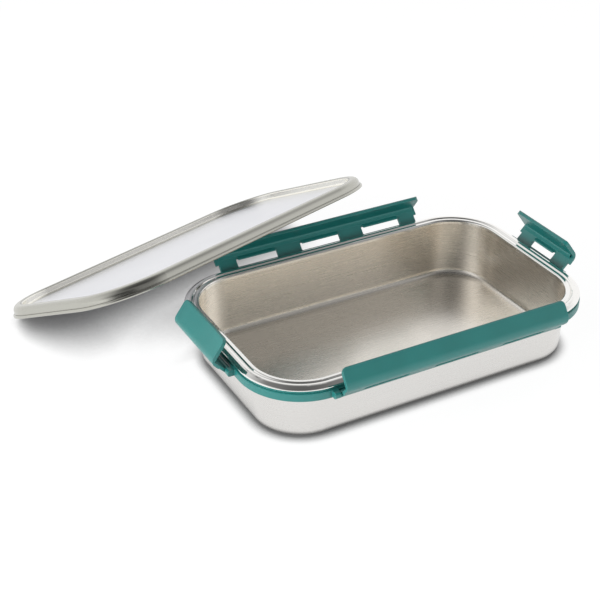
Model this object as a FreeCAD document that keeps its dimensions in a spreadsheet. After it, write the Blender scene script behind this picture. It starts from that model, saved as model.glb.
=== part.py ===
import FreeCAD, Part
import math
import os

import Sketcher

# A steel lunch box with its lid taken off and leaning behind it.
# The frame: origin on the floor under the middle of the tray, X along the length, Y to the back, Z up.

SIZES = {
    # The pressed steel tray
    "tray_length": 220,
    "tray_width": 137,
    "tray_height": 39,
    "tray_steel": 0.8,
    "rim_corner_radius": 37,
    "rim_width": 8.7,
    "rim_bead_width": 2.6,
    "rim_groove_width": 1.8,
    "rim_groove_depth": 0.9,
    "rim_crest_width": 1.7,
    "rim_fall": 1.4,
    "rim_lip_drop": 0.7,
    "rim_mouth_round": 1.2,
    "rim_bead_round": 0.6,
    "rim_groove_round": 0.3,
    "rim_crest_round": 2.5,
    "rim_edge_round": 0.9,
    "wall_draft": 1.2,
    "base_round": 4,
    # The moulded collar under the rim, with an ear at each end of every latch
    "collar_height": 6.5,
    "collar_wall": 2.2,
    "collar_proud": 0.2,
    "collar_neck_height": 1.5,
    "collar_neck_depth": 1.1,
    "collar_leg": 5,
    "collar_leg_wall": 1.6,
    "collar_round": 0.5,
    "collar_fit": 0.15,
    "ear_width": 3.6,
    "ear_cap": 0.8,
    "ear_round": 1.6,
    "ear_root": 2,
    "ear_mouth": 1.4,
    # The hinges
    "hinge_out": 2.6,
    "hinge_below_rim": 5.8,
    "pin_diameter": 1.8,
    "pin_end_bevel": 0.3,
    "pin_clearance": 0.05,
    "end_clearance": 0.4,
    # The latches, in section: a leg up from the hinge, then a panel that covers the lid's edge
    "latch_thickness": 1.8,
    "latch_panel_thickness": 2.4,
    "latch_panel_slope": 10,
    "latch_raise": 44,
    "latch_overhang": 2,
    "latch_tip_round": 3.6,
    "latch_bend_round": 5,
    "latch_inner_fillet": 2,
    "latch_bevel": 0.6,
    "long_latch_length": 140,
    "long_panel_reach": 12.5,
    "long_slot_length": 28,
    "long_slot_pitch": 44.5,
    "short_latch_length": 45,
    "short_panel_reach": 15.5,
    "short_slot_length": 21,
    "slot_corner_round": 0.6,
    "slot_margin": 1,
    "slot_height": 5,
    "hook_short_of_slot": 1,
    "hook_reach": 1.3,
    "hook_height": 1.8,
    "hook_nose": 0.9,
    "hook_clearance": 0.15,
    # The pressed steel lid
    "lid_steel": 0.7,
    "lid_height": 7,
    "lid_hem_width": 1.9,
    "lid_hem_height": 1.9,
    "lid_hem_step": 1.2,
    "lid_hem_round": 0.8,
    "lid_side_clearance": 0.5,
    "lid_latch_clearance": 0.3,
    "lid_rim_width": 6.5,
    "lid_recess_depth": 4.3,
    "lid_shoulder_round": 3.4,
    "lid_land_round": 1,
    "lid_recess_round": 1.2,
    "lid_over_bead": 0.8,
    # The silicone seal in the lid's channel
    "seal_fit": 0.15,
    "seal_lip_height": 1.5,
    "seal_lip_tip": 0.8,
    "seal_lip_clearance": 0.1,
    # How the lid lies
    "lid_heading": 17.7,
    "lid_foot_distance": 104.5,
    "lid_slide": 10.9,
    "lid_swing_clearance": 0.2,
    # How far a ring runs on over the plate inside it, and how far a cut runs past what it cuts
    "join_overlap": 1.5,
    "cut_past": 5,
}

document = FreeCAD.newDocument("lunch_box")
sheet = document.addObject("Spreadsheet::Sheet", "Sizes")
for row, (alias, number) in enumerate(SIZES.items(), start=1):
    sheet.set(f"A{row}", alias)
    sheet.set(f"B{row}", str(number))
    sheet.setAlias(f"B{row}", alias)
document.recompute()


class Size:
    """A size with its number and the formula that gives it from the sheet's cells."""

    def __init__(self, number, formula):
        self.number = number
        self.formula = formula

    def __add__(self, other):
        other = as_size(other)
        return Size(self.number + other.number, f"({self.formula} + {other.formula})")

    def __sub__(self, other):
        other = as_size(other)
        return Size(self.number - other.number, f"({self.formula} - {other.formula})")

    def __mul__(self, other):
        other = as_size(other)
        return Size(self.number * other.number, f"({self.formula} * {other.formula})")

    def __truediv__(self, other):
        other = as_size(other)
        return Size(self.number / other.number, f"({self.formula} / {other.formula})")

    def __neg__(self):
        return Size(-self.number, f"(-1 * {self.formula})")


def as_size(value):
    """A plain number as a size, and a size as it is."""
    return value if isinstance(value, Size) else Size(value, str(value))


def cell(alias):
    """The size kept in the sheet under this alias."""
    return Size(float(sheet.get(alias)), f"Sizes.{alias}")


def sine(angle):
    return Size(math.sin(math.radians(angle.number)), f"sin({angle.formula})")


def cosine(angle):
    return Size(math.cos(math.radians(angle.number)), f"cos({angle.formula})")


# Sketches and features

def new_body(name):
    body = document.addObject("PartDesign::Body", name)
    body.Label = name
    return body


def new_sketch(body, name, role, offset=None):
    """A sketch on one of the body's own origin planes, raised off it by the offset."""
    sketch = body.newObject("Sketcher::SketchObject", f"{body.Label}_{name}")
    plane = next(feature for feature in body.Origin.OriginFeatures if feature.Role == role)
    sketch.AttachmentSupport = [(plane, "")]
    sketch.MapMode = "FlatFace"
    if offset is not None:
        sketch.setExpression("AttachmentOffset.Base.z", offset.formula)
    return sketch


def hold_point(rules, geometry, position, across, up):
    """Rules that hold a point at a distance across and up from the sketch's origin."""
    for kind, size, axis in (("DistanceX", across, -2), ("DistanceY", up, -1)):
        if abs(size.number) < 1e-9:
            rules.append((("PointOnObject", geometry, position, axis), None))
        elif size.number > 0:
            rules.append(((kind, -1, 1, geometry, position, size.number), size.formula))
        else:
            rules.append(((kind, geometry, position, -1, 1, -size.number), (-size).formula))


def apply_rules(sketch, rules):
    """Adds the rules as constraints, each bound to its formula where it has one."""
    first = sketch.ConstraintCount
    sketch.addConstraint([Sketcher.Constraint(*rule) for rule, formula in rules])
    for index, (rule, formula) in enumerate(rules, start=first):
        if formula is not None:
            sketch.setExpression(f"Constraints[{index}]", formula)


def outline(sketch, *corners):
    """A closed outline through corners (across, up), or (across, up, radius) where one is rounded."""
    corners = [tuple(as_size(size) for size in corner) for corner in corners]
    count = len(corners)
    points = [FreeCAD.Vector(corner[0].number, corner[1].number, 0) for corner in corners]
    line_starts = list(points)
    line_ends = list(points)
    arcs = {}
    for index, corner in enumerate(corners):
        if len(corner) < 3:
            continue
        radius = corner[2].number
        back = (points[index - 1] - points[index]).normalize()
        ahead = (points[(index + 1) % count] - points[index]).normalize()
        half_angle = back.getAngle(ahead) / 2
        line_ends[index] = points[index] + back * (radius / math.tan(half_angle))
        line_starts[index] = points[index] + ahead * (radius / math.tan(half_angle))
        centre = points[index] + (back + ahead).normalize() * (radius / math.sin(half_angle))
        turns_left = ahead.cross(back).z > 0
        arc_start = line_ends[index] if turns_left else line_starts[index]
        start_angle = math.atan2(arc_start.y - centre.y, arc_start.x - centre.x)
        sweep = math.pi - 2 * half_angle
        circle = Part.Circle(centre, FreeCAD.Vector(0, 0, 1), radius)
        arcs[index] = (Part.ArcOfCircle(circle, start_angle, start_angle + sweep), turns_left)
    rules = []
    lines = []
    for index in range(count):
        segment = Part.LineSegment(line_starts[index], line_ends[(index + 1) % count])
        lines.append(sketch.addGeometry(segment, False))
    for index, corner in enumerate(corners):
        before = lines[index - 1]
        after = lines[index]
        if index not in arcs:
            rules.append((("Coincident", before, 2, after, 1), None))
            hold_point(rules, after, 1, corner[0], corner[1])
            continue
        shape, turns_left = arcs[index]
        arc = sketch.addGeometry(shape, False)
        mark = sketch.addGeometry(Part.Point(points[index]), True)
        entry, leave = (1, 2) if turns_left else (2, 1)
        rules.append((("Tangent", before, 2, arc, entry), None))
        rules.append((("Tangent", arc, leave, after, 1), None))
        rules.append((("Radius", arc, corner[2].number), corner[2].formula))
        rules.append((("PointOnObject", mark, 1, before), None))
        rules.append((("PointOnObject", mark, 1, after), None))
        hold_point(rules, mark, 1, corner[0], corner[1])
    apply_rules(sketch, rules)


def circle_outline(sketch, across, up, radius):
    """A circle with its centre across and up from the sketch's origin."""
    across, up, radius = as_size(across), as_size(up), as_size(radius)
    centre = FreeCAD.Vector(across.number, up.number, 0)
    ring = sketch.addGeometry(Part.Circle(centre, FreeCAD.Vector(0, 0, 1), radius.number), False)
    rules = [(("Radius", ring, radius.number), radius.formula)]
    hold_point(rules, ring, 3, across, up)
    apply_rules(sketch, rules)


def upright(sketch, across, height):
    """A construction line to turn about, straight up from the sketch's own axis across."""
    foot = FreeCAD.Vector(across.number, 0, 0)
    head = FreeCAD.Vector(across.number, height.number, 0)
    line = sketch.addGeometry(Part.LineSegment(foot, head), True)
    rules = []
    hold_point(rules, line, 1, across, as_size(0))
    hold_point(rules, line, 2, across, height)
    apply_rules(sketch, rules)


def pad(body, sketch, length, symmetric=True):
    feature = body.newObject("PartDesign::Pad", f"{sketch.Name}_pad")
    feature.Profile = sketch
    feature.SideType = "Symmetric" if symmetric else "One side"
    feature.setExpression("Length", length.formula)
    document.recompute()
    return feature


def pocket(body, sketch, length):
    """A cut to both sides of the sketch, which has to take material away."""
    volume = body.Shape.Volume
    feature = body.newObject("PartDesign::Pocket", f"{sketch.Name}_pocket")
    feature.Profile = sketch
    feature.SideType = "Symmetric"
    feature.setExpression("Length", length.formula)
    document.recompute()
    if body.Shape.Volume >= volume:
        raise RuntimeError(f"{sketch.Name} cuts nothing")
    return feature


def revolve(body, sketch, axis, angle):
    """The sketch turned about one of its own axes."""
    feature = body.newObject("PartDesign::Revolution", f"{sketch.Name}_turned")
    feature.Profile = sketch
    feature.ReferenceAxis = (sketch, [axis])
    feature.Angle = angle
    document.recompute()
    return feature


def mirror(body, role):
    """The whole body so far, doubled by its image in one of its origin planes."""
    feature = body.newObject("PartDesign::Mirrored", f"{body.Label}_across_{role}")
    feature.TransformMode = "Whole shape"
    plane = next(item for item in body.Origin.OriginFeatures if item.Role == role)
    feature.MirrorPlane = (plane, [""])
    body.Tip = feature
    document.recompute()
    return feature


def ring(body, *section):
    """A section taken round the rim's edge: corners (distance outside the edge, height[, radius])."""
    sides = (
        ("end", "XZ_Plane", half_length, half_width - rim_radius),
        ("long", "YZ_Plane", half_width, half_length - rim_radius),
    )
    for name, role, edge, half_run in sides:
        straight = new_sketch(body, f"{name}_section", role)
        outline(straight, *[(edge + distance, *rest) for distance, *rest in section])
        pad(body, straight, half_run * 2)
    corner = new_sketch(body, "corner_section", "XZ_Plane", rim_radius - half_width)
    outline(corner, *[(half_length + distance, *rest) for distance, *rest in section])
    upright(corner, half_length - rim_radius, rim_top)
    revolve(body, corner, "Axis0", 90)
    mirror(body, "XZ_Plane")
    mirror(body, "YZ_Plane")


def plate(body, name, inset, bottom, thickness):
    """A flat plate inside a ring, with its edge this far inside the rim's edge."""
    sketch = new_sketch(body, name, "XY_Plane", bottom)
    across = half_length - inset
    along = half_width - inset
    corner = rim_radius - inset
    outline(
        sketch,
        (across, along, corner),
        (-across, along, corner),
        (-across, -along, corner),
        (across, -along, corner),
    )
    return pad(body, sketch, thickness, symmetric=False)


# The rim's edge, from which every ring's section is measured
half_length = cell("tray_length") / 2
half_width = cell("tray_width") / 2
rim_radius = cell("rim_corner_radius")
rim_top = cell("tray_height")
hinge_height = rim_top - cell("hinge_below_rim")
hinge_out = cell("hinge_out")

# Steel tray: pressed from one sheet, with a bead and a groove round the mouth and a rounded rim outside them
tray_steel = cell("tray_steel")
mouth = -cell("rim_width")
foot_of_wall = mouth - cell("wall_draft")
bead_outside = mouth + cell("rim_bead_width")
groove = bead_outside + cell("rim_groove_width") / 2
groove_bottom = rim_top - cell("rim_groove_depth")
crest_inside = bead_outside + cell("rim_groove_width")
crest_outside = crest_inside + cell("rim_crest_width")
rim_edge_top = rim_top - cell("rim_fall")
lip_bottom = rim_edge_top - cell("rim_lip_drop")
base_round = cell("base_round")
bead_round = cell("rim_bead_round")
join_overlap = cell("join_overlap")
floor_join = foot_of_wall - base_round - join_overlap * 2

tray = new_body("steel_tray")
ring(
    tray,
    (floor_join, tray_steel),
    (foot_of_wall, tray_steel, base_round),
    (mouth, rim_top, cell("rim_mouth_round")),
    (bead_outside, rim_top, bead_round),
    (groove, groove_bottom, cell("rim_groove_round")),
    (crest_inside, rim_top, bead_round),
    (crest_outside, rim_top, cell("rim_crest_round")),
    (0, rim_edge_top, cell("rim_edge_round")),
    (0, lip_bottom),
    (-tray_steel, lip_bottom),
    (-tray_steel, rim_edge_top - tray_steel / 2),
    (crest_outside, rim_top - tray_steel),
    (crest_inside, rim_top - tray_steel),
    (groove, groove_bottom - tray_steel),
    (bead_outside, rim_top - tray_steel),
    (mouth + tray_steel, rim_top - tray_steel),
    (foot_of_wall + tray_steel, 0, base_round + tray_steel),
    (floor_join, 0),
)
plate(tray, "floor", -(floor_join + join_overlap), as_size(0), tray_steel)

# Collar: a moulded channel ring clipped on under the rim, with a narrow neck that shows as a dark line
collar_fit = cell("collar_fit")
collar_wall = cell("collar_wall")
collar_face = cell("collar_proud")
collar_neck = collar_face - cell("collar_neck_depth")
collar_top = lip_bottom - collar_fit
collar_shoulder = collar_top - cell("collar_neck_height")
collar_bottom = collar_top - cell("collar_height")
web_bottom = collar_top - collar_wall
collar_inside = mouth + tray_steel + collar_fit
leg_outside = collar_inside + cell("collar_leg_wall")
leg_bottom = collar_top - cell("collar_leg")
collar_round = cell("collar_round")

collar = new_body("collar_frame")
ring(
    collar,
    (collar_face, collar_bottom, collar_round),
    (collar_face, collar_shoulder, collar_round),
    (collar_neck, collar_shoulder),
    (collar_neck, collar_top),
    (collar_inside, collar_top),
    (collar_inside, leg_bottom),
    (leg_outside, leg_bottom),
    (leg_outside, web_bottom),
    (collar_face - collar_wall, web_bottom),
    (collar_face - collar_wall, collar_bottom),
)

# Ears: one lug at each end of every latch, with a blind bore that the hinge pin snaps into from below
latch_thickness = cell("latch_thickness")
leg_inside = cell("lid_hem_width") + cell("lid_side_clearance") + cell("lid_latch_clearance") - hinge_out
barrel_radius = leg_inside + latch_thickness
bore_radius = cell("pin_diameter") / 2 + cell("pin_clearance")
end_clearance = cell("end_clearance")
ear_width = cell("ear_width")
bore_depth = ear_width - cell("ear_cap")
cut_past = cell("cut_past")


def add_ears(name, role, edge, latch_length):
    """A pair of ears on each of two opposite sides, with the latch's length left free between them."""
    ears = new_sketch(collar, f"{name}_ears", role)
    room = new_sketch(collar, f"{name}_room", role)
    bore = new_sketch(collar, f"{name}_bore", role)
    mouth_below = new_sketch(collar, f"{name}_mouth", role)
    half_mouth = cell("ear_mouth") / 2
    ear_round = cell("ear_round")
    low = hinge_height - barrel_radius
    high = hinge_height + barrel_radius
    below = low - cut_past
    above = high + cut_past
    for side in (1, -1):
        root = (edge + collar_face - cell("ear_root")) * side
        face = (edge + collar_face) * side
        axis = (edge + hinge_out) * side
        tip = (edge + hinge_out + barrel_radius) * side
        beyond = (edge + hinge_out + barrel_radius + cut_past) * side
        outline(ears, (root, low), (tip, low, ear_round), (tip, high, ear_round), (root, high))
        outline(room, (face, below), (beyond, below), (beyond, above), (face, above))
        circle_outline(bore, axis, hinge_height, bore_radius)
        outline(
            mouth_below,
            (axis - half_mouth, below),
            (axis + half_mouth, below),
            (axis + half_mouth, hinge_height),
            (axis - half_mouth, hinge_height),
        )
    between = latch_length + end_clearance * 2
    pad(collar, ears, between + ear_width * 2)
    pocket(collar, room, between)
    pocket(collar, bore, between + bore_depth * 2)
    pocket(collar, mouth_below, between + bore_depth * 2)


add_ears("long", "YZ_Plane", half_width, cell("long_latch_length"))
add_ears("short", "XZ_Plane", half_length, cell("short_latch_length"))

# Latches, drawn closed, with the hinge's axis along X through the origin, outside at +Y
panel_under_lid = rim_top + cell("lid_over_bead")
closed_lid_bottom = panel_under_lid + cell("lid_steel") + cell("lid_recess_depth") - cell("lid_height")
hem_top = closed_lid_bottom + cell("lid_hem_height") - hinge_height
lid_top = closed_lid_bottom + cell("lid_height") - hinge_height
slope = cell("latch_panel_slope")
slope_rise = sine(slope) / cosine(slope)
bend_height = lid_top + cell("lid_latch_clearance")
hook_nose_bottom = hem_top + cell("hook_clearance")
slot_bottom = barrel_radius + cell("slot_margin")
slot_top = slot_bottom + cell("slot_height")
panel_thickness = cell("latch_panel_thickness")
panel_fall = latch_thickness * slope_rise
bend_corner = (barrel_radius, bend_height + panel_thickness / cosine(slope) - panel_fall)
bend_bottom = bend_height - cell("latch_bend_round")


def along_panel(distance, depth):
    """A point on the panel: this far from the bend's outer corner and this deep under its outer face."""
    across = bend_corner[0] - cosine(slope) * distance - sine(slope) * depth
    up = bend_corner[1] + sine(slope) * distance - cosine(slope) * depth
    return across, up


def add_latch(name, latch_length, panel_reach, slot_length, slot_centres):
    latch = new_body(name)
    panel_half = latch_length / 2 + cell("latch_overhang")
    bevel = cell("latch_bevel")

    barrel = new_sketch(latch, "barrel", "YZ_Plane")
    circle_outline(barrel, 0, 0, barrel_radius)
    pad(latch, barrel, latch_length)

    leg = new_sketch(latch, "leg", "YZ_Plane")
    fillet = cell("latch_inner_fillet")
    outline(
        leg,
        (barrel_radius, 0),
        (barrel_radius, bend_bottom),
        (leg_inside - fillet, bend_height + slope_rise * fillet),
        (leg_inside, bend_height - fillet),
        (leg_inside, 0),
    )
    pad(latch, leg, latch_length)

    panel = new_sketch(latch, "panel", "YZ_Plane")
    outline(
        panel,
        along_panel(as_size(0), as_size(0)) + (cell("latch_bend_round"),),
        along_panel(panel_reach - bevel, as_size(0)),
        along_panel(panel_reach, bevel),
        along_panel(panel_reach, panel_thickness),
        (leg_inside, bend_height),
        (leg_inside, bend_bottom),
        (barrel_radius, bend_bottom),
    )
    pad(latch, panel, panel_half * 2)

    corners = new_sketch(latch, "tip_corners", "XY_Plane")
    tip = along_panel(panel_reach, panel_thickness)[0]
    around = panel_half + cut_past
    outer = barrel_radius + cut_past
    tip_round = cell("latch_tip_round")
    outline(
        corners,
        (around, tip - cut_past),
        (around, outer + cut_past),
        (-around, outer + cut_past),
        (-around, tip - cut_past),
    )
    outline(
        corners,
        (panel_half, tip, tip_round),
        (panel_half, outer),
        (-panel_half, outer),
        (-panel_half, tip, tip_round),
    )
    pocket(latch, corners, (bend_corner[1] + panel_reach) * 2)

    bore = new_sketch(latch, "bore", "YZ_Plane")
    circle_outline(bore, 0, 0, bore_radius)
    pocket(latch, bore, latch_length + cut_past * 2)

    slots = new_sketch(latch, "slots", "XZ_Plane")
    slot_round = cell("slot_corner_round")
    for centre in slot_centres:
        outline(
            slots,
            (centre - slot_length / 2, slot_bottom, slot_round),
            (centre + slot_length / 2, slot_bottom, slot_round),
            (centre + slot_length / 2, slot_top, slot_round),
            (centre - slot_length / 2, slot_top, slot_round),
        )
    pocket(latch, slots, (barrel_radius + cut_past) * 2)

    hook_tip = leg_inside - cell("hook_reach")
    hook_top = slot_top + cell("hook_height")
    for number, centre in enumerate(slot_centres, start=1):
        hook = new_sketch(latch, f"hook_{number}", "YZ_Plane", centre)
        outline(
            hook,
            (barrel_radius, slot_top),
            (leg_inside, slot_top),
            (hook_tip, hook_nose_bottom),
            (hook_tip, hook_nose_bottom + cell("hook_nose")),
            (leg_inside, hook_top),
            (barrel_radius, hook_top),
        )
        pad(latch, hook, slot_length - cell("hook_short_of_slot") * 2)
    return latch


def add_pin(name, latch_length):
    """A steel rod through the latch and into both ears, with a small bevel at each end."""
    pin = new_body(name)
    profile = new_sketch(pin, "profile", "XY_Plane")
    radius = cell("pin_diameter") / 2
    bevel = cell("pin_end_bevel")
    end = latch_length / 2 + end_clearance + bore_depth - cell("pin_clearance")
    outline(
        profile,
        (end, 0),
        (end, radius - bevel),
        (end - bevel, radius),
        (bevel - end, radius),
        (-end, radius - bevel),
        (-end, 0),
    )
    revolve(pin, profile, "H_Axis", 360)
    return pin


UP = FreeCAD.Vector(0, 0, 1)
ALONG = FreeCAD.Vector(1, 0, 0)
long_pitch = cell("long_slot_pitch")
long_slots = (cell("long_slot_length"), [-long_pitch, as_size(0), long_pitch])
short_slots = (cell("short_slot_length"), [as_size(0)])
SIDES = (
    ("rear", 0, half_width, "long", long_slots),
    ("left", 90, half_length, "short", short_slots),
    ("front", 180, half_width, "long", long_slots),
    ("right", 270, half_length, "short", short_slots),
)
for side, turn, edge, kind, (slot_length, slot_centres) in SIDES:
    length = cell(f"{kind}_latch_length")
    reach = cell(f"{kind}_panel_reach")
    facing = FreeCAD.Rotation(UP, turn)
    axis_point = FreeCAD.Vector(0, edge.number + hinge_out.number, hinge_height.number)
    raised = FreeCAD.Rotation(ALONG, -cell("latch_raise").number)
    latch = add_latch(f"{side}_latch", length, reach, slot_length, slot_centres)
    latch.Placement = FreeCAD.Placement(facing.multVec(axis_point), facing.multiply(raised))
    pin = add_pin(f"{side}_hinge_pin", length)
    pin.Placement = FreeCAD.Placement(facing.multVec(axis_point), facing)

# Lid: pressed from one sheet, with a rolled hem, a sunk panel and a raised rim that is a channel below
lid_steel = cell("lid_steel")
lid_height = cell("lid_height")
lid_inside = cell("lid_side_clearance")
hem_outside = lid_inside + cell("lid_hem_width")
skirt_outside = hem_outside - cell("lid_hem_step")
recess_edge = skirt_outside - cell("lid_rim_width")
channel_inside = recess_edge + lid_steel
panel_top = lid_height - cell("lid_recess_depth")
panel_bottom = panel_top - lid_steel
channel_top = lid_height - lid_steel
panel_join = recess_edge - cell("lid_recess_round") - join_overlap * 2
hem_round = cell("lid_hem_round")

lid = new_body("lid_shell")
ring(
    lid,
    (lid_inside, 0),
    (hem_outside, 0, hem_round),
    (hem_outside, cell("lid_hem_height"), hem_round),
    (skirt_outside, cell("lid_hem_height")),
    (skirt_outside, lid_height, cell("lid_shoulder_round")),
    (recess_edge, lid_height, cell("lid_land_round")),
    (recess_edge, panel_top, cell("lid_recess_round")),
    (panel_join, panel_top),
    (panel_join, panel_bottom),
    (channel_inside, panel_bottom),
    (channel_inside, channel_top),
    (lid_inside, channel_top, cell("lid_shoulder_round") - lid_steel),
)
plate(lid, "panel", -(panel_join + join_overlap), panel_bottom, lid_steel)

# Seal: a silicone ring pushed into the channel, with two lips that press on the tray's rim
seal_fit = cell("seal_fit")
seal_outside = lid_inside - seal_fit
seal_inside = channel_inside + seal_fit
seal_top = channel_top - seal_fit
seal_bottom = rim_top + cell("seal_lip_clearance") - closed_lid_bottom
seal_root = seal_bottom + cell("seal_lip_height")
seal_middle = (seal_outside + seal_inside) / 2
lip_tip = cell("seal_lip_tip")
lip_outside = (seal_outside + seal_middle) / 2
lip_inside = (seal_inside + seal_middle) / 2
seal_bevel = cell("lid_shoulder_round") - lid_steel

seal = new_body("lid_gasket")
ring(
    seal,
    (seal_inside, seal_top),
    (seal_inside, seal_root),
    (lip_inside - lip_tip / 2, seal_bottom),
    (lip_inside + lip_tip / 2, seal_bottom),
    (seal_middle, seal_root),
    (lip_outside - lip_tip / 2, seal_bottom),
    (lip_outside + lip_tip / 2, seal_bottom),
    (seal_outside, seal_root),
    (seal_outside, seal_top - seal_bevel),
    (seal_outside - seal_bevel, seal_top),
)

# The lid lies with its back hem on the floor and leans over the rear latch, clear of the latch's swing
heading = math.radians(cell("lid_heading").number)
hem_centre = hem_round.number
tip_points = (
    along_panel(cell("long_panel_reach"), cell("latch_bevel")),
    along_panel(cell("long_panel_reach") - cell("latch_bevel"), as_size(0)),
    along_panel(cell("long_panel_reach"), panel_thickness),
)
swing_radius = max(math.hypot(across.number, up.number) for across, up in tip_points)
foot_distance = cell("lid_foot_distance").number
rise = hinge_height.number - hem_centre
stand_off = swing_radius + cell("lid_swing_clearance").number - (panel_bottom.number - hem_centre)
lean = math.atan2(rise, foot_distance) + math.asin(stand_off / math.hypot(rise, foot_distance))

lid_along = FreeCAD.Vector(math.cos(heading), math.sin(heading), 0)
floor_back = FreeCAD.Vector(-math.sin(heading), math.cos(heading), 0)
lid_back = floor_back * math.cos(lean) - UP * math.sin(lean)
lid_normal = lid_along.cross(lid_back)
tip_start = cell("latch_tip_round") - cell("long_latch_length") / 2 - cell("latch_overhang")
under_tip = FreeCAD.Vector(tip_start.number, (half_width + hinge_out).number, hem_centre)
back_hem = under_tip + floor_back * foot_distance + lid_along * cell("lid_slide").number
hem_line = (half_width + hem_outside).number - hem_centre
lid_origin = back_hem - lid_back * hem_line - lid_normal * hem_centre
lid_turn = FreeCAD.Rotation(lid_along, lid_back, lid_normal, "ZXY")
for piece in (lid, seal):
    piece.Placement = FreeCAD.Placement(lid_origin, lid_turn)
document.recompute()

# Every object has to be sound before any piece is written
for item in document.Objects:
    if "Invalid" in item.State or "Error" in item.State:
        raise RuntimeError(f"{item.Name} failed: {item.State}")
os.makedirs("parts", exist_ok=True)
for body in document.findObjects("PartDesign::Body"):
    if body.Shape.isNull() or not body.Shape.isValid():
        raise RuntimeError(f"{body.Label} has no valid shape")
    body.Shape.exportStep(f"parts/{body.Label}.step")
    print(body.Label, len(body.Shape.Solids), round(body.Shape.Volume, 1))
print("lid leans", round(math.degrees(lean), 2), "latch swing radius", round(swing_radius, 2))
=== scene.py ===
"""Looks of a rectangular steel lunch box with four snap latches and a loose lid.

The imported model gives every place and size. Lengths here are in metres, in its frame:
+X along the tray's length, +Y to the back where the lid lies, +Z up from the floor.
"""
import math

import bpy
from mathutils import Matrix, Vector


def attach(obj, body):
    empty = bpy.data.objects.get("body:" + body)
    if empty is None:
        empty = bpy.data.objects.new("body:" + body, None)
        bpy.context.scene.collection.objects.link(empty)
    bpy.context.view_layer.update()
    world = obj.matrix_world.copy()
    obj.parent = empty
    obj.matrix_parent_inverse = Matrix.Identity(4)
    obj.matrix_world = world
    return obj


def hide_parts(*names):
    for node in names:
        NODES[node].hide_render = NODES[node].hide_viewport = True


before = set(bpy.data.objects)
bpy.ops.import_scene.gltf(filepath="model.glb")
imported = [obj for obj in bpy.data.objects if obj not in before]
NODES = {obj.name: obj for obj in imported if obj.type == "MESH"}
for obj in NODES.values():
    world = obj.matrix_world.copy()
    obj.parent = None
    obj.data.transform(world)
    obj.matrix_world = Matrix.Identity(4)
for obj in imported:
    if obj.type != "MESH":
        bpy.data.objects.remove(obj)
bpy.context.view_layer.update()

MM = 0.001

# Steel tray
# The body is deep-drawn from one sheet of stainless steel and brushed to satin, level round the
# walls and lengthwise on the floor. The press tool leaves its beaded rim bright.
# Painted light: the one sheet's steel is given a darker copy for the outside and a lighter, warmer copy
# for the inside.
OUTSIDE_STEEL_PAINTED_DARKER = (0.72, 0.705, 0.685)
INSIDE_STEEL_PAINTED_LIGHTER = (0.93, 0.885, 0.815)
BRIGHT_STEEL = (0.92, 0.91, 0.885)
MOUTH_MIDDLE = Vector((0.0, 0.0, 60.0)) * MM
SATIN_ROUGHNESS = 0.27
BRIGHT_ROUGHNESS = 0.08
RIM_FOOT = 36.4 * MM
RIM_START = 36.9 * MM
BRUSH_DEPTH = 0.002 * MM
BRUSH_TONE = 0.02
# Painted shade: crevices within this reach, such as the rim's grooves, are darkened to this share of the
# bright steel.
GROOVE_REACH = 1.2 * MM
PAINTED_GROOVE_SHADE = 0.6
CLOUD_ROUGHNESS = 0.03
BRUSH_ROUGHNESS = 0.03
TRAY_CLOUDS = (38, 38, 38)
LEVEL_LINES = (14, 14, 3000)
LENGTHWISE_LINES = (14, 3000, 3000)


def start_material(name):
    """A new material, and its shader node."""
    material = bpy.data.materials.new(name)
    material.use_nodes = True
    return material, material.node_tree.nodes["Principled BSDF"]


def add_node(material, kind, **settings):
    """A node of the material's tree with its settings."""
    node = material.node_tree.nodes.new(kind)
    for setting, value in settings.items():
        setattr(node, setting, value)
    return node


def join(material, source, target):
    """A link from one socket to another."""
    material.node_tree.links.new(source, target)


def place_on(material, origin=(0.0, 0.0, 0.0), turn=(0.0, 0.0, 0.0)):
    """Where the point lies, in metres, in a piece's own frame with this origin and turn."""
    place = add_node(material, "ShaderNodeTexCoord")
    own_frame = add_node(material, "ShaderNodeMapping", vector_type="TEXTURE")
    own_frame.inputs["Location"].default_value = origin
    own_frame.inputs["Rotation"].default_value = turn
    join(material, place.outputs["Object"], own_frame.inputs["Vector"])
    return own_frame.outputs["Vector"]


def height_of(material, vector):
    """The third part of a vector."""
    parts = add_node(material, "ShaderNodeSeparateXYZ")
    join(material, vector, parts.inputs["Vector"])
    return parts.outputs["Z"]


def noise(material, place, cycles_per_metre, detail=3.0):
    """Noise with its own fineness along each axis of the place."""
    stretch = add_node(material, "ShaderNodeVectorMath", operation="MULTIPLY")
    stretch.inputs[1].default_value = cycles_per_metre
    texture = add_node(material, "ShaderNodeTexNoise")
    texture.inputs["Scale"].default_value = 1.0
    texture.inputs["Detail"].default_value = detail
    join(material, place, stretch.inputs[0])
    join(material, stretch.outputs["Vector"], texture.inputs["Vector"])
    return texture.outputs["Fac"]


def spread(material, source, low, high, start=0.3, end=0.7):
    """The source's range from start to end carried over to low and high."""
    node = add_node(material, "ShaderNodeMapRange")
    node.inputs["From Min"].default_value = start
    node.inputs["From Max"].default_value = end
    node.inputs["To Min"].default_value = low
    node.inputs["To Max"].default_value = high
    join(material, source, node.inputs["Value"])
    return node.outputs["Result"]


def combine(material, operation, first, second):
    """Two numbers from sockets, put through one step of arithmetic."""
    node = add_node(material, "ShaderNodeMath", operation=operation)
    join(material, first, node.inputs[0])
    join(material, second, node.inputs[1])
    return node.outputs["Value"]


def fill(material, node, slots, values):
    """Sets each slot of a node to a plain value, or links a socket to it."""
    for slot, value in zip(slots, values):
        if isinstance(value, bpy.types.NodeSocket):
            join(material, value, node.inputs[slot])
        else:
            node.inputs[slot].default_value = value


def blend_numbers(material, share, first, second):
    """The first number where share is 0, the second where it is 1."""
    node = add_node(material, "ShaderNodeMix", data_type="FLOAT")
    fill(material, node, (0, 2, 3), (share, first, second))
    return node.outputs[0]


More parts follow.
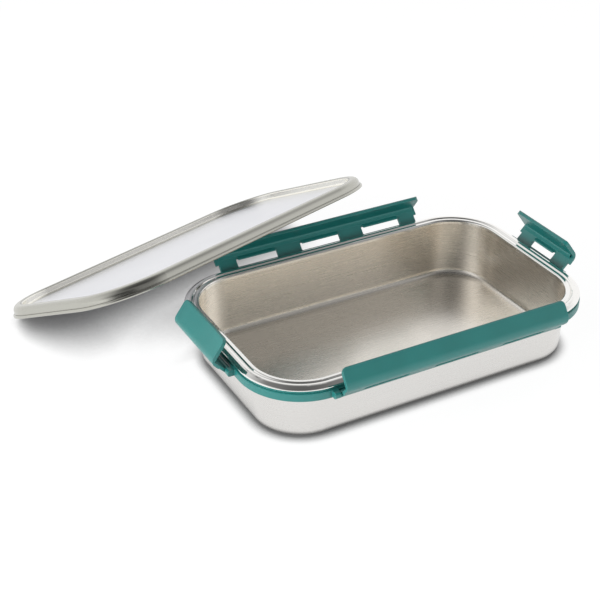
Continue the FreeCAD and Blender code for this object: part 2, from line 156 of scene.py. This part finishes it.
def blend_colours(material, share, first, second):
    """The first colour where share is 0, the second where it is 1."""
    node = add_node(material, "ShaderNodeMix", data_type="RGBA")
    colours = [(*colour, 1.0) if isinstance(colour, tuple) else colour for colour in (first, second)]
    fill(material, node, (0, 6, 7), (share, *colours))
    return node.outputs[2]


def shade(colour, share):
    """The colour made lighter or darker by a share."""
    return tuple(channel * share for channel in colour)


def vary(material, share, colour, amount):
    """The colour, darker by an amount where share is 0 and lighter by it where share is 1."""
    return blend_colours(material, share, shade(colour, 1.0 - amount), shade(colour, 1.0 + amount))


def openness(material, reach):
    """1 in the open, and lower in a crevice narrower than the reach."""
    node = add_node(material, "ShaderNodeAmbientOcclusion", samples=8)
    node.inputs["Distance"].default_value = reach
    return node.outputs["AO"]


def raise_grain(material, shader, height, depth, edges=None):
    """Relief of the given depth on the shader's normal, over softened edges where these are given."""
    bump = add_node(material, "ShaderNodeBump")
    bump.inputs["Strength"].default_value = 1.0
    bump.inputs["Distance"].default_value = depth
    join(material, height, bump.inputs["Height"])
    if edges is not None:
        join(material, edges, bump.inputs["Normal"])
    join(material, bump.outputs["Normal"], shader.inputs["Normal"])


def dress(node, material):
    """The material on all of a CAD node."""
    node.data.materials.clear()
    node.data.materials.append(material)


tray_finish, tray_shader = start_material("tray_satin_steel")
tray_shader.inputs["Metallic"].default_value = 1.0
tray_place = place_on(tray_finish)
tray_surface = add_node(tray_finish, "ShaderNodeNewGeometry")
facing_up = height_of(tray_finish, tray_surface.outputs["Normal"])
on_flat = spread(tray_finish, facing_up, 0.0, 1.0, 0.6, 0.8)
wall_brushing = noise(tray_finish, tray_place, LEVEL_LINES, 2.0)
floor_brushing = noise(tray_finish, tray_place, LENGTHWISE_LINES, 2.0)
brushing = blend_numbers(tray_finish, on_flat, wall_brushing, floor_brushing)
on_rim = spread(tray_finish, height_of(tray_finish, tray_place), 0.0, 1.0, RIM_FOOT, RIM_START)
to_mouth = add_node(tray_finish, "ShaderNodeVectorMath", operation="SUBTRACT")
to_mouth.inputs[0].default_value = MOUTH_MIDDLE
join(tray_finish, tray_place, to_mouth.inputs[1])
facing_mouth = add_node(tray_finish, "ShaderNodeVectorMath", operation="DOT_PRODUCT")
join(tray_finish, tray_surface.outputs["Normal"], facing_mouth.inputs[0])
join(tray_finish, to_mouth.outputs["Vector"], facing_mouth.inputs[1])
# Painted light: faces turned to the mouth take the lighter, warmer inside copy of the steel.
inside = spread(tray_finish, facing_mouth.outputs["Value"], 0.0, 1.0, -1.0 * MM, 1.0 * MM)
brushed_share = spread(tray_finish, brushing, 0.0, 1.0)
satin_outside_painted_darker = vary(tray_finish, brushed_share, OUTSIDE_STEEL_PAINTED_DARKER, BRUSH_TONE)
satin_inside_painted_lighter = vary(tray_finish, brushed_share, INSIDE_STEEL_PAINTED_LIGHTER, BRUSH_TONE)
satin = blend_colours(tray_finish, inside, satin_outside_painted_darker, satin_inside_painted_lighter)
steel = blend_colours(tray_finish, on_rim, satin, BRIGHT_STEEL)
# Painted shade: an occlusion check darkens the steel in the rim's grooves and other narrow crevices.
clear_of_painted_groove_shade = spread(tray_finish, openness(tray_finish, GROOVE_REACH), 0.0, 1.0, 0.25, 0.8)
join(
    tray_finish,
    blend_colours(tray_finish, clear_of_painted_groove_shade, shade(BRIGHT_STEEL, PAINTED_GROOVE_SHADE), steel),
    tray_shader.inputs["Base Color"],
)
tray_clouds = noise(tray_finish, tray_place, TRAY_CLOUDS)
satin_roughness = combine(
    tray_finish,
    "ADD",
    spread(tray_finish, tray_clouds, -CLOUD_ROUGHNESS, CLOUD_ROUGHNESS),
    spread(tray_finish, brushing, SATIN_ROUGHNESS - BRUSH_ROUGHNESS, SATIN_ROUGHNESS + BRUSH_ROUGHNESS),
)
join(
    tray_finish,
    blend_numbers(tray_finish, on_rim, satin_roughness, BRIGHT_ROUGHNESS),
    tray_shader.inputs["Roughness"],
)
raise_grain(tray_finish, tray_shader, blend_numbers(tray_finish, on_rim, brushing, 0.5), BRUSH_DEPTH)
dress(NODES["steel_tray"], tray_finish)

# Collar frame
# The ring is moulded in one piece of teal plastic and snapped up under the tray's rim.
# It carries the ears that the hinge pins snap into.
TEAL = (0.012, 0.17, 0.158)
EDGE_ROUNDING = 0.5 * MM
PLASTIC_SHINE = 0.8
PLASTIC_TONE = 0.05
PLASTIC_GRAIN_DEPTH = 0.015 * MM
PLASTIC_GRAIN = (2600, 2600, 2600)
PLASTIC_CLOUDS = (60, 60, 60)
# Painted highlight: the edges are painted lighter and paler by these amounts.
EDGE_HIGHLIGHT_LIGHTER = 1.3
EDGE_HIGHLIGHT_PALER = 0.05


def moulded_plastic(name, colour, roughness):
    """Satin plastic: fine spark-eroded grain, slight changes of tone, and a painted highlight that makes
    the edges paler.
    """
    material, shader = start_material(name)
    place = place_on(material)
    soft_edges = add_node(material, "ShaderNodeBevel", samples=6)
    soft_edges.inputs["Radius"].default_value = EDGE_ROUNDING
    surface = add_node(material, "ShaderNodeNewGeometry")
    likeness = add_node(material, "ShaderNodeVectorMath", operation="DOT_PRODUCT")
    join(material, soft_edges.outputs["Normal"], likeness.inputs[0])
    join(material, surface.outputs["Normal"], likeness.inputs[1])
    on_edge = spread(material, likeness.outputs["Value"], 1.0, 0.0, 0.85, 0.99)
    clouds = noise(material, place, PLASTIC_CLOUDS)
    tint = vary(material, spread(material, clouds, 0.0, 1.0), colour, PLASTIC_TONE)
    # Painted highlight: the softened edges take a lighter, paler copy of the plastic's colour.
    painted_edge_highlight = tuple(channel + EDGE_HIGHLIGHT_PALER for channel in shade(colour, EDGE_HIGHLIGHT_LIGHTER))
    join(material, blend_colours(material, on_edge, tint, painted_edge_highlight), shader.inputs["Base Color"])
    shader.inputs["Specular IOR Level"].default_value = PLASTIC_SHINE
    grain = noise(material, place, PLASTIC_GRAIN, 2.0)
    grain_roughness = spread(material, grain, roughness - 0.05, roughness + 0.06)
    join(material, grain_roughness, shader.inputs["Roughness"])
    raise_grain(material, shader, grain, PLASTIC_GRAIN_DEPTH, soft_edges.outputs["Normal"])
    return material


collar_finish = moulded_plastic("collar_teal_plastic", TEAL, 0.38)
dress(NODES["collar_frame"], collar_finish)

# Hinge pins
# Straight lengths of drawn stainless wire, bevelled at the ends. Each runs through a latch's
# barrel, and its ends snap up into the collar's ears.
PIN_DARK_STEEL = (0.55, 0.55, 0.55)
PIN_LIGHT_STEEL = (0.64, 0.64, 0.64)
PIN_ROUGHNESS = (0.24, 0.34)
PIN_GRAIN = (900, 900, 900)
PIN_GRAIN_DEPTH = 0.004 * MM
pin_finish, pin_shader = start_material("pin_drawn_steel")
pin_shader.inputs["Metallic"].default_value = 1.0
pin_drawing = noise(pin_finish, place_on(pin_finish), PIN_GRAIN)
pin_share = spread(pin_finish, pin_drawing, 0.0, 1.0)
pin_steel = blend_colours(pin_finish, pin_share, PIN_DARK_STEEL, PIN_LIGHT_STEEL)
join(pin_finish, pin_steel, pin_shader.inputs["Base Color"])
join(pin_finish, spread(pin_finish, pin_drawing, *PIN_ROUGHNESS), pin_shader.inputs["Roughness"])
raise_grain(pin_finish, pin_shader, pin_drawing, PIN_GRAIN_DEPTH)

# Snap latches
# Each latch is moulded in one piece of the collar's plastic: a barrel on the pin, an arm with
# slots and hooks, and a gripping panel, the most handled surface of the box.
latch_finish = moulded_plastic("latch_teal_plastic", TEAL, 0.36)
for side in ("rear", "left", "front", "right"):
    dress(NODES[side + "_hinge_pin"], pin_finish)
    dress(NODES[side + "_latch"], latch_finish)

# Lid shell
# The lid is pressed from one thinner sheet of stainless steel with a rolled hem. Its raised rim is
# smooth and its sunk panel is satin. It is taken off and stands behind the tray on its back edge.
LID_ORIGIN = Vector((-70.62, 113.92, 31.48)) * MM
LID_HEADING = math.radians(17.7)
LID_LEAN = math.radians(26.61)
# Painted light: the one sheet's steel gets three brightnesses, a darker rim, a lighter recess wall and a
# cooler panel, standing for what each part mirrors.
LID_RIM_STEEL_PAINTED_DARKER = (0.5, 0.495, 0.45)
LID_WALL_STEEL_PAINTED_LIGHTER = (0.95, 0.935, 0.87)
LID_PANEL_STEEL_PAINTED_COOLER = (0.78, 0.785, 0.82)
RIM_HALF_LENGTH = 110.0 * MM
RIM_HALF_WIDTH = 68.5 * MM
RIM_CORNER = 37.0 * MM
PANEL_EDGE = -6.5 * MM
RECESS_EDGE = -5.3 * MM
# Painted shade: a thin dark ring on the land, this far from the rim edge, this wide, and drawn only
# above this height.
LAND_SHADE_LINE = -4.4 * MM
LAND_SHADE_LINE_WIDTH = 0.5 * MM
LAND_SHADE_LINE_FOOT = 6.1 * MM
# Painted shade: creases within this reach are darkened to this share of the rim steel.
LID_CREASE_REACH = 1.5 * MM
LID_PAINTED_CREASE_SHADE = 0.4
LID_RIM_ROUGHNESS = 0.24
LID_PANEL_ROUGHNESS = 0.3
LID_CLOUDS = (30, 30, 30)


def step_of(material, operation, first, second=None):
    """One step of arithmetic on a vector, with the second given plain."""
    node = add_node(material, "ShaderNodeVectorMath", operation=operation)
    join(material, first, node.inputs[0])
    if second is not None:
        node.inputs[1].default_value = second
    return node.outputs["Value" if operation == "LENGTH" else "Vector"]


def outside_rim(material, place):
    """How far the point lies outside the tray's rounded rim edge, seen from above."""
    flat = step_of(material, "MULTIPLY", place, (1.0, 1.0, 0.0))
    corner_centre = (RIM_HALF_LENGTH - RIM_CORNER, RIM_HALF_WIDTH - RIM_CORNER, 0.0)
    past_centre = step_of(material, "SUBTRACT", step_of(material, "ABSOLUTE", flat), corner_centre)
    reach = step_of(material, "LENGTH", step_of(material, "MAXIMUM", past_centre, (0.0, 0.0, 0.0)))
    node = add_node(material, "ShaderNodeMath", operation="SUBTRACT")
    node.inputs[1].default_value = RIM_CORNER
    join(material, reach, node.inputs[0])
    return node.outputs["Value"]


lid_rotation = Matrix.Rotation(LID_HEADING, 3, "Z") @ Matrix.Rotation(-LID_LEAN, 3, "X")
lid_finish, lid_shader = start_material("lid_polished_steel")
lid_shader.inputs["Metallic"].default_value = 1.0
lid_place = place_on(lid_finish, LID_ORIGIN, lid_rotation.to_euler())
lid_level = height_of(lid_finish, lid_place)
lid_distance = outside_rim(lid_finish, lid_place)
on_panel = spread(lid_finish, lid_distance, 1.0, 0.0, PANEL_EDGE, PANEL_EDGE + 0.4 * MM)
lid_brushing = noise(lid_finish, lid_place, LENGTHWISE_LINES, 2.0)
in_recess = spread(lid_finish, lid_distance, 1.0, 0.0, RECESS_EDGE, RECESS_EDGE + 0.5 * MM)
# Painted light: each zone of the lid takes its own lighter or darker copy of the steel.
lid_steel_painted_by_zone = blend_colours(lid_finish, in_recess, LID_RIM_STEEL_PAINTED_DARKER, LID_WALL_STEEL_PAINTED_LIGHTER)
lid_steel_painted_by_zone = blend_colours(lid_finish, on_panel, lid_steel_painted_by_zone, LID_PANEL_STEEL_PAINTED_COOLER)
# Painted shade: an occlusion check darkens the lid's creases towards a shaded copy of the rim steel.
clear_of_painted_crease_shade = spread(lid_finish, openness(lid_finish, LID_CREASE_REACH), 0.0, 1.0, 0.3, 0.8)
# Painted shade: the thin dark ring round the land, measured from the rim edge.
from_painted_shade_line = add_node(lid_finish, "ShaderNodeMath", operation="ADD")
from_painted_shade_line.inputs[1].default_value = -LAND_SHADE_LINE
join(lid_finish, lid_distance, from_painted_shade_line.inputs[0])
painted_shade_line_distance = add_node(lid_finish, "ShaderNodeMath", operation="ABSOLUTE")
join(lid_finish, from_painted_shade_line.outputs["Value"], painted_shade_line_distance.inputs[0])
off_painted_shade_line = spread(
    lid_finish, painted_shade_line_distance.outputs["Value"], 0.0, 1.0, LAND_SHADE_LINE_WIDTH / 2, LAND_SHADE_LINE_WIDTH
)
below_painted_shade_line = spread(lid_finish, lid_level, 1.0, 0.0, LAND_SHADE_LINE_FOOT, LAND_SHADE_LINE_FOOT + 0.2 * MM)
# Where the crease check or the painted line is dark, the steel takes the painted shade colour.
clear_of_painted_lid_shade = combine(lid_finish, "MULTIPLY", clear_of_painted_crease_shade, combine(lid_finish, "MAXIMUM", off_painted_shade_line, below_painted_shade_line))
join(
    lid_finish,
    blend_colours(lid_finish, clear_of_painted_lid_shade, shade(LID_RIM_STEEL_PAINTED_DARKER, LID_PAINTED_CREASE_SHADE), lid_steel_painted_by_zone),
    lid_shader.inputs["Base Color"],
)
lid_clouds = spread(lid_finish, noise(lid_finish, lid_place, LID_CLOUDS), -0.02, 0.03)
lid_roughness = blend_numbers(lid_finish, on_panel, LID_RIM_ROUGHNESS, LID_PANEL_ROUGHNESS)
join(lid_finish, combine(lid_finish, "ADD", lid_clouds, lid_roughness), lid_shader.inputs["Roughness"])
raise_grain(lid_finish, lid_shader, lid_brushing, BRUSH_DEPTH)
dress(NODES["lid_shell"], lid_finish)

# Lid gasket
# A ring of translucent white silicone, moulded with two soft lips that press on the tray's rim,
# and pushed by hand into the channel under the lid's rim.
CORNER_STEPS = 28
GASKET_INSIDE = -4.45 * MM
GASKET_OUTSIDE = 0.35 * MM
GASKET_TOP = 6.15 * MM
GASKET_ROOT = 2.8 * MM
GASKET_LIP = 1.3 * MM
GASKET_BEVEL = 2.7 * MM
LIP_HALF_TIP = 0.4 * MM
GASKET_SOFTNESS = 0.5 * MM
DARK_SILICONE = (0.74, 0.74, 0.71)
LIGHT_SILICONE = (0.82, 0.82, 0.79)
SILICONE_ROUGHNESS = (0.45, 0.6)
SILICONE_CLOUDS = (70, 70, 70)
SILICONE_GRAIN = (1800, 1800, 1800)
SILICONE_GRAIN_DEPTH = 0.006 * MM


def soften(corners, radius, steps=4):
    """The outline's corners, each turned into a short curve that starts this far before it."""
    points = []
    for index, corner in enumerate(corners):
        before = corners[index - 1] - corner
        after = corners[(index + 1) % len(corners)] - corner
        cut = min(radius, before.length * 0.45, after.length * 0.45)
        start = corner + before.normalized() * cut
        end = corner + after.normalized() * cut
        for step in range(steps + 1):
            share = step / steps
            points.append(start.lerp(corner, share).lerp(corner.lerp(end, share), share))
    return points


gasket_middle = (GASKET_INSIDE + GASKET_OUTSIDE) / 2
inner_lip = (GASKET_INSIDE + gasket_middle) / 2
outer_lip = (GASKET_OUTSIDE + gasket_middle) / 2
gasket_corners = [
    Vector((GASKET_INSIDE, GASKET_TOP)),
    Vector((GASKET_INSIDE, GASKET_ROOT)),
    Vector((inner_lip - LIP_HALF_TIP, GASKET_LIP)),
    Vector((inner_lip + LIP_HALF_TIP, GASKET_LIP)),
    Vector((gasket_middle, GASKET_ROOT)),
    Vector((outer_lip - LIP_HALF_TIP, GASKET_LIP)),
    Vector((outer_lip + LIP_HALF_TIP, GASKET_LIP)),
    Vector((GASKET_OUTSIDE, GASKET_ROOT)),
    Vector((GASKET_OUTSIDE, GASKET_TOP - GASKET_BEVEL)),
    Vector((GASKET_OUTSIDE - GASKET_BEVEL, GASKET_TOP)),
]
gasket_section = soften(gasket_corners, GASKET_SOFTNESS)
gasket_points = []
for quarter, (along, across) in enumerate(((1, 1), (-1, 1), (-1, -1), (1, -1))):
    centre_x = along * (RIM_HALF_LENGTH - RIM_CORNER)
    centre_y = across * (RIM_HALF_WIDTH - RIM_CORNER)
    centre = Vector((centre_x, centre_y, 0.0))
    for step in range(CORNER_STEPS + 1):
        angle = math.radians(90 * (quarter + step / CORNER_STEPS))
        outward = Vector((math.cos(angle), math.sin(angle), 0.0))
        for distance, height in gasket_section:
            on_lid = centre + outward * (RIM_CORNER + distance) + Vector((0.0, 0.0, height))
            gasket_points.append(LID_ORIGIN + lid_rotation @ on_lid)
section_count = len(gasket_section)
station_count = len(gasket_points) // section_count
gasket_faces = []
for station in range(station_count):
    here = station * section_count
    ahead = (station + 1) % station_count * section_count
    for index in range(section_count):
        following = (index + 1) % section_count
        gasket_faces.append((here + index, here + following, ahead + following, ahead + index))
gasket_mesh = bpy.data.meshes.new("sealing_ring")
gasket_mesh.from_pydata(gasket_points, [], gasket_faces)
gasket_mesh.shade_smooth()
gasket = bpy.data.objects.new("sealing_ring", gasket_mesh)
bpy.context.scene.collection.objects.link(gasket)

gasket_finish, gasket_shader = start_material("gasket_white_silicone")
gasket_place = place_on(gasket_finish, LID_ORIGIN, lid_rotation.to_euler())
gasket_clouds = noise(gasket_finish, gasket_place, SILICONE_CLOUDS, 4.0)
gasket_share = spread(gasket_finish, gasket_clouds, 0.0, 1.0)
silicone = blend_colours(gasket_finish, gasket_share, DARK_SILICONE, LIGHT_SILICONE)
join(gasket_finish, silicone, gasket_shader.inputs["Base Color"])
gasket_grain = noise(gasket_finish, gasket_place, SILICONE_GRAIN, 2.0)
silicone_roughness = spread(gasket_finish, gasket_grain, *SILICONE_ROUGHNESS)
join(gasket_finish, silicone_roughness, gasket_shader.inputs["Roughness"])
gasket_shader.inputs["Subsurface Weight"].default_value = 0.25
gasket_shader.inputs["Subsurface Radius"].default_value = (1.0, 1.0, 0.9)
gasket_shader.inputs["Subsurface Scale"].default_value = 1.0 * MM
raise_grain(gasket_finish, gasket_shader, gasket_grain, SILICONE_GRAIN_DEPTH)
gasket_mesh.materials.append(gasket_finish)
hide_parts("lid_gasket")
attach(gasket, "lid")

# Floor
# A sheet of white paper under the box. To the eye and in the steel a glow lifts it to plain white, and a
# painted shadow dims that glow, dark where a piece stands on it and, behind the tray, where the lid
# hangs over it. The lamps' own shadow on it stays faint.
FLOOR_REACH = 6.0
PAPER_LIFT = 0.9
PAPER = (0.86, 0.86, 0.86)
PAPER_UNDER_LIFT = (0.18, 0.18, 0.18)
CONTACT_REACH = 8.0 * MM
OVERHEAD_REACH = 50.0 * MM
TOWARDS_OPEN_SIDE = (-0.12, -0.2, 0.0)
LID_PAINTED_SHADOW_START = 40.0 * MM
LID_PAINTED_SHADOW_FULL = 80.0 * MM
floor_mesh = bpy.data.meshes.new("floor")
floor_corners = []
for x, y in ((-1, -1), (1, -1), (1, 1), (-1, 1)):
    floor_corners.append((x * FLOOR_REACH, y * FLOOR_REACH, 0.0))
floor_mesh.from_pydata(floor_corners, [], [(0, 1, 2, 3)])
floor = bpy.data.objects.new("floor", floor_mesh)
bpy.context.scene.collection.objects.link(floor)
paper, paper_shader = start_material("floor_paper")
paper_shader.inputs["Roughness"].default_value = 0.9
paper_shader.inputs["Specular IOR Level"].default_value = 0.0
# Painted shadow: occlusion checks dim the white glow near where a piece stands and under the lid behind
# the tray.
clear_of_painted_contact_shadow = spread(paper, openness(paper, CONTACT_REACH), 0.06, 1.0, 0.42, 0.92)
paper_surface = add_node(paper, "ShaderNodeNewGeometry")
open_side = step_of(paper, "ADD", paper_surface.outputs["Normal"], TOWARDS_OPEN_SIDE)
painted_lid_shadow_check = add_node(paper, "ShaderNodeAmbientOcclusion", samples=16)
painted_lid_shadow_check.inputs["Distance"].default_value = OVERHEAD_REACH
join(paper, step_of(paper, "NORMALIZE", open_side), painted_lid_shadow_check.inputs["Normal"])
clear_of_painted_lid_shadow = spread(paper, painted_lid_shadow_check.outputs["AO"], 0.03, 1.0, 0.28, 0.67)
paper_place = add_node(paper, "ShaderNodeSeparateXYZ")
join(paper, place_on(paper), paper_place.inputs["Vector"])
before_painted_lid_shadow = spread(paper, paper_place.outputs["Y"], 1.0, 0.0, LID_PAINTED_SHADOW_START, LID_PAINTED_SHADOW_FULL)
clear_of_painted_lid_shadow = combine(paper, "MAXIMUM", clear_of_painted_lid_shadow, before_painted_lid_shadow)
clear_of_painted_shadow = combine(paper, "MULTIPLY", clear_of_painted_contact_shadow, clear_of_painted_lid_shadow)
seen_by = add_node(paper, "ShaderNodeLightPath")
seen = combine(paper, "MAXIMUM", seen_by.outputs["Is Camera Ray"], seen_by.outputs["Is Glossy Ray"])
seen = combine(paper, "MAXIMUM", seen, seen_by.outputs["Is Transmission Ray"])
join(paper, blend_colours(paper, seen, PAPER, PAPER_UNDER_LIFT), paper_shader.inputs["Base Color"])
lift = combine(paper, "MULTIPLY", seen, spread(paper, clear_of_painted_shadow, 0.0, PAPER_LIFT, 0.0, 1.0))
paper_shader.inputs["Emission Color"].default_value = (1.0, 1.0, 1.0, 1.0)
join(paper, lift, paper_shader.inputs["Emission Strength"])
floor_mesh.materials.append(paper)

# Light
# A white studio, darker overhead and on the side where the viewer stands, with a large lamp low on the
# left and a weaker one in front. The dark part shows in the lid's polished corners.
STUDIO_HEIGHTS = ((0.0, 1.0), (0.5, 1.0), (0.75, 0.65), (0.9, 0.2), (1.0, 0.15))
DIM_SIDE = Vector((-0.2, -0.85, 0.5)).normalized()
DARK_PART = Vector((-0.53, -0.84, 0.1)).normalized()
DIM_LEVEL = 0.3
DARK_LEVEL = 0.2
studio = bpy.data.worlds.new("studio")
bpy.context.scene.world = studio
studio.use_nodes = True
studio_place = add_node(studio, "ShaderNodeTexCoord")


def nearness(direction):
    """1 straight in a direction of the studio, and lower away from it."""
    node = add_node(studio, "ShaderNodeVectorMath", operation="DOT_PRODUCT")
    node.inputs[1].default_value = direction
    join(studio, studio_place.outputs["Generated"], node.inputs[0])
    return node.outputs["Value"]


dim_side = spread(studio, nearness(DIM_SIDE), 1.0, DIM_LEVEL, 0.4, 0.8)
dark_core = spread(studio, nearness(DARK_PART), 1.0, DARK_LEVEL, 0.84, 0.95)
overhead = add_node(studio, "ShaderNodeValToRGB")
join(studio, height_of(studio, studio_place.outputs["Generated"]), overhead.inputs["Fac"])
steps = overhead.color_ramp.elements
steps[1].position = STUDIO_HEIGHTS[-1][0]
for height, level in STUDIO_HEIGHTS[1:-1]:
    steps.new(height)
for step, (height, level) in zip(steps, STUDIO_HEIGHTS):
    step.color = (level, level, level, 1.0)
studio_light = combine(studio, "MULTIPLY", dim_side, dark_core)
studio_light = combine(studio, "MULTIPLY", studio_light, overhead.outputs["Color"])
studio_seen_by = add_node(studio, "ShaderNodeLightPath")
studio_light = combine(studio, "MAXIMUM", studio_light, studio_seen_by.outputs["Is Camera Ray"])
join(studio, studio_light, studio.node_tree.nodes["Background"].inputs["Strength"])
studio.node_tree.nodes["Background"].inputs["Color"].default_value = (1.0, 1.0, 1.0, 1.0)


def hang_lamp(name, place, energy, size):
    """A square lamp turned to the middle of the box, which the steel doesn't mirror."""
    light = bpy.data.lights.new(name, "AREA")
    light.energy = energy
    light.size = size
    lamp = bpy.data.objects.new(name, light)
    lamp.location = place
    lamp.rotation_euler = (-lamp.location).to_track_quat("-Z", "Y").to_euler()
    lamp.visible_glossy = False
    bpy.context.scene.collection.objects.link(lamp)


hang_lamp("key_lamp", place=(-0.98, -0.2, 0.22), energy=10.4, size=0.6)
hang_lamp("fill_lamp", place=(0.25, -1.0, 0.3), energy=4.0, size=0.4)

# Camera
# It stands in front of the tray and to its left, a little under half a metre up.
SENSOR_WIDTH_MM = 36.0
PHOTO_WIDTH_PX = 600
FOCAL_LENGTH_PX = 1308.9
CAMERA_PLACE = Vector((-0.3598, -0.5572, 0.4277))
CAMERA_AIM = Vector((-0.0352, 0.0375, 0.0237))
camera_data = bpy.data.cameras.new("camera")
camera_data.sensor_width = SENSOR_WIDTH_MM
camera_data.lens = FOCAL_LENGTH_PX / PHOTO_WIDTH_PX * SENSOR_WIDTH_MM
camera = bpy.data.objects.new("camera", camera_data)
camera.location = CAMERA_PLACE
camera.rotation_euler = (CAMERA_AIM - camera.location).to_track_quat("-Z", "Y").to_euler()
bpy.context.scene.collection.objects.link(camera)
bpy.context.scene.camera = camera
bpy.context.scene.view_settings.view_transform = "Standard"
